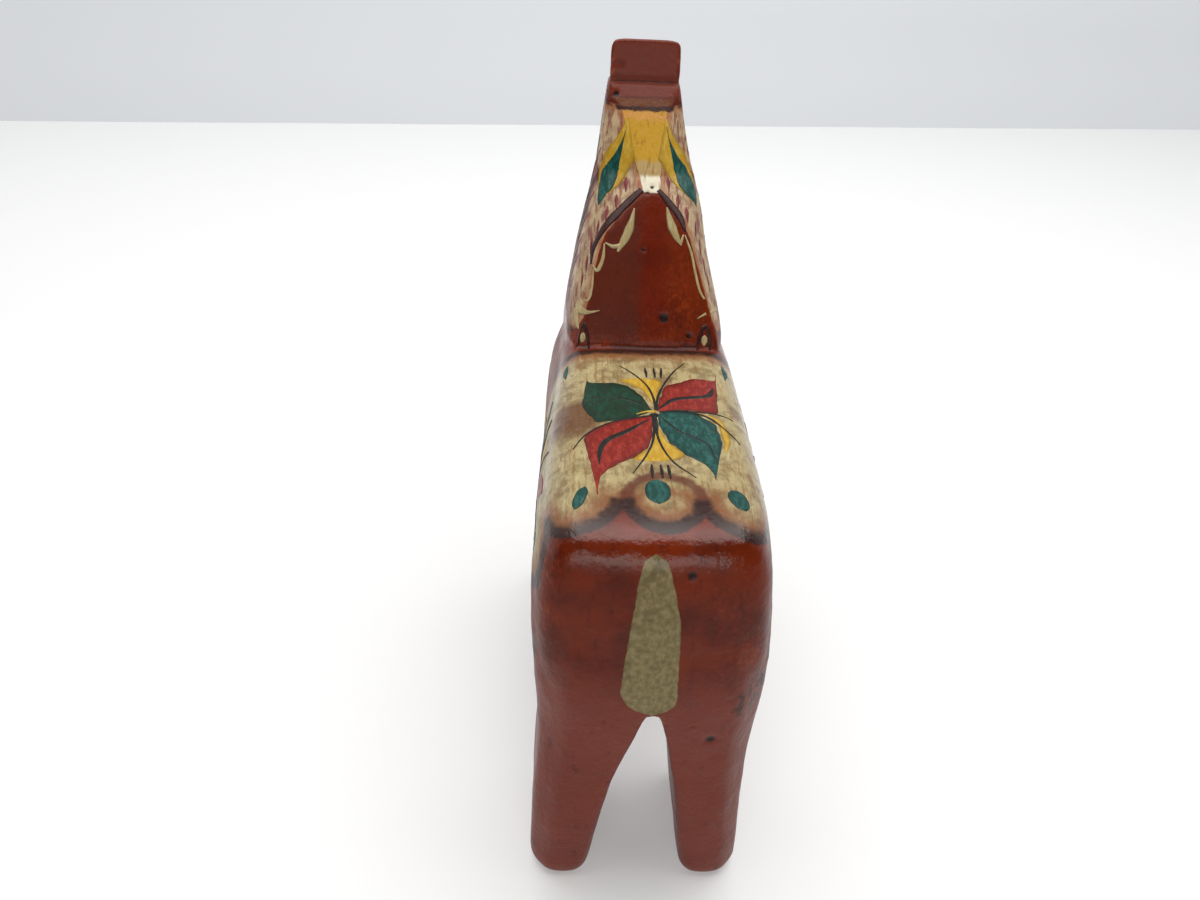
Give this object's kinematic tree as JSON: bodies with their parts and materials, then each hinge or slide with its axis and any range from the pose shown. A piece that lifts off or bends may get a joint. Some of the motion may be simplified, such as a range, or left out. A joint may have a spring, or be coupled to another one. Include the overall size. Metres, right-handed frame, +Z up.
{
  "type": "dala horse",
  "caption": "Carved and painted wooden horse figure with straight legs, upright neck, block ears and a flat saddle, standing free on its foot soles",
  "frame": {"origin": "bottom centre of the bounding box, on the plane of the foot soles", "axes": "+Z up, X across the horse with +X on the horse's own left, the head points to -Y and the tail to +Y"},
  "size_m": [0.075, 0.244, 0.25],
  "materials": {
    "core_board": "pine, painted brick red with folk decoration, aged gloss varnish",
    "leg_block": "pine, painted brick red, aged gloss varnish",
    "flank": "pine, painted cream saddle over red, aged gloss varnish",
    "neck_cheek": "pine, painted brick red with cream, teal and yellow strokes, aged gloss varnish",
    "dowel": "bare birch, glued in"
  },
  "bodies": {
    "root": {"core_board": "core_board", "hind_block_left": "leg_block", "hind_block_right": "leg_block", "fore_block_left": "leg_block", "fore_block_right": "leg_block", "flank_left": "flank", "flank_right": "flank", "neck_cheek_left": "neck_cheek", "neck_cheek_right": "neck_cheek", "dowels": "dowel"}
  },
  "joints": []
}
